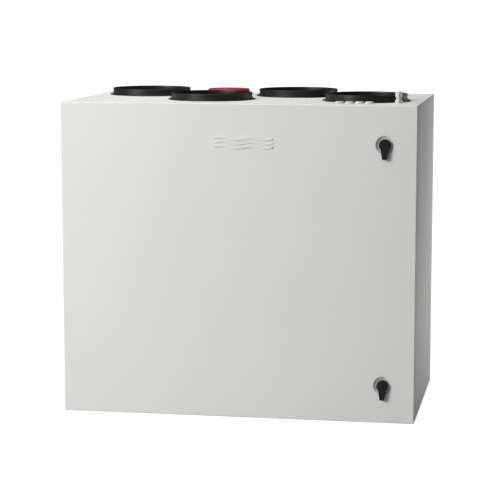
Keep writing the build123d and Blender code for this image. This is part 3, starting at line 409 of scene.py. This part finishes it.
def plain(name, color, roughness):
    """Small parts on the board: one colour with a fine grain."""
    s = Surface(name, color, roughness)
    s.tint(s.noise(900.0, 3.0), tuple(c * 0.88 for c in color), tuple(c * 1.08 for c in color))
    s.bump(s.noise(1800.0, 2.0), 0.1, 0.00005)
    return s.material


def board_material():
    """Green solder mask with copper tracks that show as raised lines."""
    s = Surface("circuit_board", (0.015, 0.13, 0.055), 0.32)
    tracks = s.cells(150.0, "Distance", "DISTANCE_TO_EDGE")
    s.tint(tracks, (0.030, 0.22, 0.09), (0.012, 0.11, 0.045), 0.04, 0.07)
    s.bump(tracks, 0.4, 0.0001)
    return s.material


def terminals(bm, low, high, face):
    """Row of screw terminals along the board's upper edge, each with its wire entry below."""
    for i in range(TERMINALS):
        x = low.x + 0.008 + TERMINAL_PITCH * i
        add_box(bm, (x, face - 0.013, high.z - 0.038), (x + 0.0128, face, high.z - 0.024), 0.0008)
        add_box(bm, (x + 0.002, face - 0.0135, high.z - 0.042), (x + 0.0108, face, high.z - 0.037))


def relays_and_chip(bm, low, face):
    """Three relays in a column, and a flat processor beside them."""
    for i in range(RELAYS):
        z = low.z + 0.096 + RELAY_PITCH * i
        add_box(bm, (low.x + 0.014, face - 0.016, z), (low.x + 0.042, face, z + 0.030), 0.0012)
    x, z = low.x + 0.068, low.z + 0.136
    add_box(bm, (x, face - 0.0035, z), (x + CHIP, face, z + CHIP), 0.0006)


def capacitors(bm, low, face):
    """Upright cans with a rolled groove near the foot and a dished top."""
    r, groove, top = CAN_R, CAN_R - 0.0006, CAN_H
    can = [(0, 0), (r, 0), (r, 0.0030), (groove, 0.0036), (r, 0.0042)]
    can += [(r, top - 0.001), (r - 0.0007, top), (r - 0.0014, top), (0, top - 0.0005)]
    for i in range(CAPACITORS):
        x = low.x + 0.074 + CAPACITOR_PITCH * i
        spin = Matrix.Translation((x, face, low.z + 0.066)) @ Matrix.Rotation(math.radians(90), 4, "X")
        add_turned(bm, can, spin, 28)


def control_board():
    """Board, terminals, relays, chip and capacitors in their own materials."""
    low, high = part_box("control_board")
    face = high.y - BOARD_BEHIND
    bm = bmesh.new()
    add_box(bm, (low.x, face, low.z), (high.x, face + BOARD_T, high.z), 0.0004)
    board = new_piece("circuit_board", bm, board_material(), "cabinet")

    bm = bmesh.new()
    terminals(bm, low, high, face)
    new_piece("terminal_row", bm, plain("terminal_green", (0.05, 0.30, 0.12), 0.4), "cabinet")

    bm = bmesh.new()
    relays_and_chip(bm, low, face)
    new_piece("relays_and_chip", bm, plain("relay_black", (0.03, 0.03, 0.032), 0.35), "cabinet")

    bm = bmesh.new()
    capacitors(bm, low, face)
    new_piece("capacitors", bm, plain("capacitor_can", (0.10, 0.12, 0.22), 0.3), "cabinet", True)
    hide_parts("control_board")


# ---- studio --------------------------------------------------------------------------------
FLOOR_RADIUS = 30.0
FLOOR_DROP = 0.0005                    # below the object's base
FLOOR_GLOW = (0.90, 1.05)              # of its own light: near the object, and far away
FLOOR_FADE = (1.2, 3.0)                # metres from the middle over which the glow rises


def floor():
    """A wide pale disc, white in the picture, that throws a softer light back at the object."""
    mesh = bpy.data.meshes.new("floor")
    bm = bmesh.new()
    bmesh.ops.create_circle(bm, cap_ends=True, segments=96, radius=FLOOR_RADIUS)
    bm.to_mesh(mesh)
    bm.free()
    disc = bpy.data.objects.new("floor", mesh)
    bpy.context.collection.objects.link(disc)
    disc.location.z = -FLOOR_DROP
    s = Surface("studio_floor", (0.45, 0.45, 0.45), 0.9)
    tree = s.tree
    length = tree.nodes.new("ShaderNodeVectorMath")
    length.operation = "LENGTH"
    tree.links.new(s.coords, length.inputs[0])
    glow = s.spread(length.outputs["Value"], *FLOOR_GLOW, *FLOOR_FADE)
    s.set(Emission_Color=(1.0, 1.0, 1.0, 1.0))
    tree.links.new(glow, s.shader.inputs["Emission Strength"])
    bounce = tree.nodes.new("ShaderNodeBsdfDiffuse")
    bounce.inputs["Color"].default_value = (0.50, 0.50, 0.50, 1.0)
    rays = tree.nodes.new("ShaderNodeLightPath")
    mix = tree.nodes.new("ShaderNodeMixShader")
    tree.links.new(rays.outputs["Is Camera Ray"], mix.inputs["Fac"])
    tree.links.new(bounce.outputs["BSDF"], mix.inputs[1])
    tree.links.new(s.shader.outputs["BSDF"], mix.inputs[2])
    tree.links.new(mix.outputs["Shader"], tree.nodes["Material Output"].inputs["Surface"])
    disc.data.materials.append(s.material)


WORLD_LIGHT = (0.13, 0.04)             # strength from the left, and from the right


def world():
    """White behind the object, and a dimmer grey as light on it, mostly from the left."""
    sky = bpy.data.worlds.new("studio")
    bpy.context.scene.world = sky
    sky.use_nodes = True
    tree = sky.node_tree
    tree.nodes.clear()
    seen = tree.nodes.new("ShaderNodeBackground")
    seen.inputs["Color"].default_value = (1.0, 1.0, 1.0, 1.0)
    seen.inputs["Strength"].default_value = 1.05
    light = tree.nodes.new("ShaderNodeBackground")
    light.inputs["Color"].default_value = (1.0, 1.0, 1.0, 1.0)
    direction = tree.nodes.new("ShaderNodeTexCoord").outputs["Generated"]
    split = tree.nodes.new("ShaderNodeSeparateXYZ")
    side = tree.nodes.new("ShaderNodeMapRange")
    side.inputs["From Min"].default_value, side.inputs["From Max"].default_value = -1.0, 1.0
    side.inputs["To Min"].default_value, side.inputs["To Max"].default_value = WORLD_LIGHT
    tree.links.new(direction, split.inputs["Vector"])
    tree.links.new(split.outputs["X"], side.inputs["Value"])
    tree.links.new(side.outputs["Result"], light.inputs["Strength"])
    rays = tree.nodes.new("ShaderNodeLightPath")
    mix = tree.nodes.new("ShaderNodeMixShader")
    out = tree.nodes.new("ShaderNodeOutputWorld")
    tree.links.new(rays.outputs["Is Camera Ray"], mix.inputs["Fac"])
    tree.links.new(light.outputs["Background"], mix.inputs[1])
    tree.links.new(seen.outputs["Background"], mix.inputs[2])
    tree.links.new(mix.outputs["Shader"], out.inputs["Surface"])


def softbox(name, place, aim, width, height, power):
    """A rectangular area light at place, turned towards aim."""
    light = bpy.data.lights.new(name, "AREA")
    light.shape = "RECTANGLE"
    light.size = width
    light.size_y = height
    light.energy = power
    lamp = bpy.data.objects.new(name, light)
    lamp.visible_camera = False
    bpy.context.collection.objects.link(lamp)
    lamp.location = place
    lamp.rotation_euler = (Vector(aim) - Vector(place)).to_track_quat("-Z", "Y").to_euler()


POWER = {"key": 597.0, "left": 16.2, "top": 37.5, "rear_right": 2.1, "low_right": 0.42}


def lights():
    """Key and a nearer box from the front left, one overhead, and two for the right side."""
    softbox("key", (-6.0, -6.6, 4.4), (0.0, -0.3, 0.5), 4.5, 4.5, POWER["key"])
    softbox("left", (-1.6, -2.2, 1.3), (-0.3, -0.3, 0.6), 0.8, 1.6, POWER["left"])
    softbox("top", (-0.5, 0.2, 2.9), (0.0, 0.0, 0.9), 2.0, 1.6, POWER["top"])
    softbox("rear_right", (0.98, 0.56, 0.60), (0.53, 0.28, 0.60), 0.25, 1.1, POWER["rear_right"])
    softbox("low_right", (1.15, 0.0, 0.13), (0.53, 0.0, 0.10), 0.70, 0.2, POWER["low_right"])


# ---- camera --------------------------------------------------------------------------------
CAMERA_PLACE = (0.9665, -5.5204, 1.2663)
CAMERA_AZIMUTH = 10.073                # degrees to the right of straight ahead
CAMERA_ELEVATION = 8.127
CAMERA_LENS = 129.28                   # mm on a 36 mm sensor


def camera():
    """The photograph's viewpoint."""
    data = bpy.data.cameras.new("camera")
    data.sensor_width = 36.0
    data.lens = CAMERA_LENS
    data.clip_start, data.clip_end = 0.1, 200.0
    cam = bpy.data.objects.new("camera", data)
    bpy.context.collection.objects.link(cam)
    a, e = math.radians(CAMERA_AZIMUTH), math.radians(CAMERA_ELEVATION)
    back = Vector((math.sin(a) * math.cos(e), -math.cos(a) * math.cos(e), math.sin(e)))
    cam.location = CAMERA_PLACE
    cam.rotation_euler = (-back).to_track_quat("-Z", "Y").to_euler()
    bpy.context.scene.camera = cam


bpy.context.scene.view_settings.view_transform = "Standard"
dress_all()
wheel_matrix()
control_board()
floor()
world()
lights()
camera()
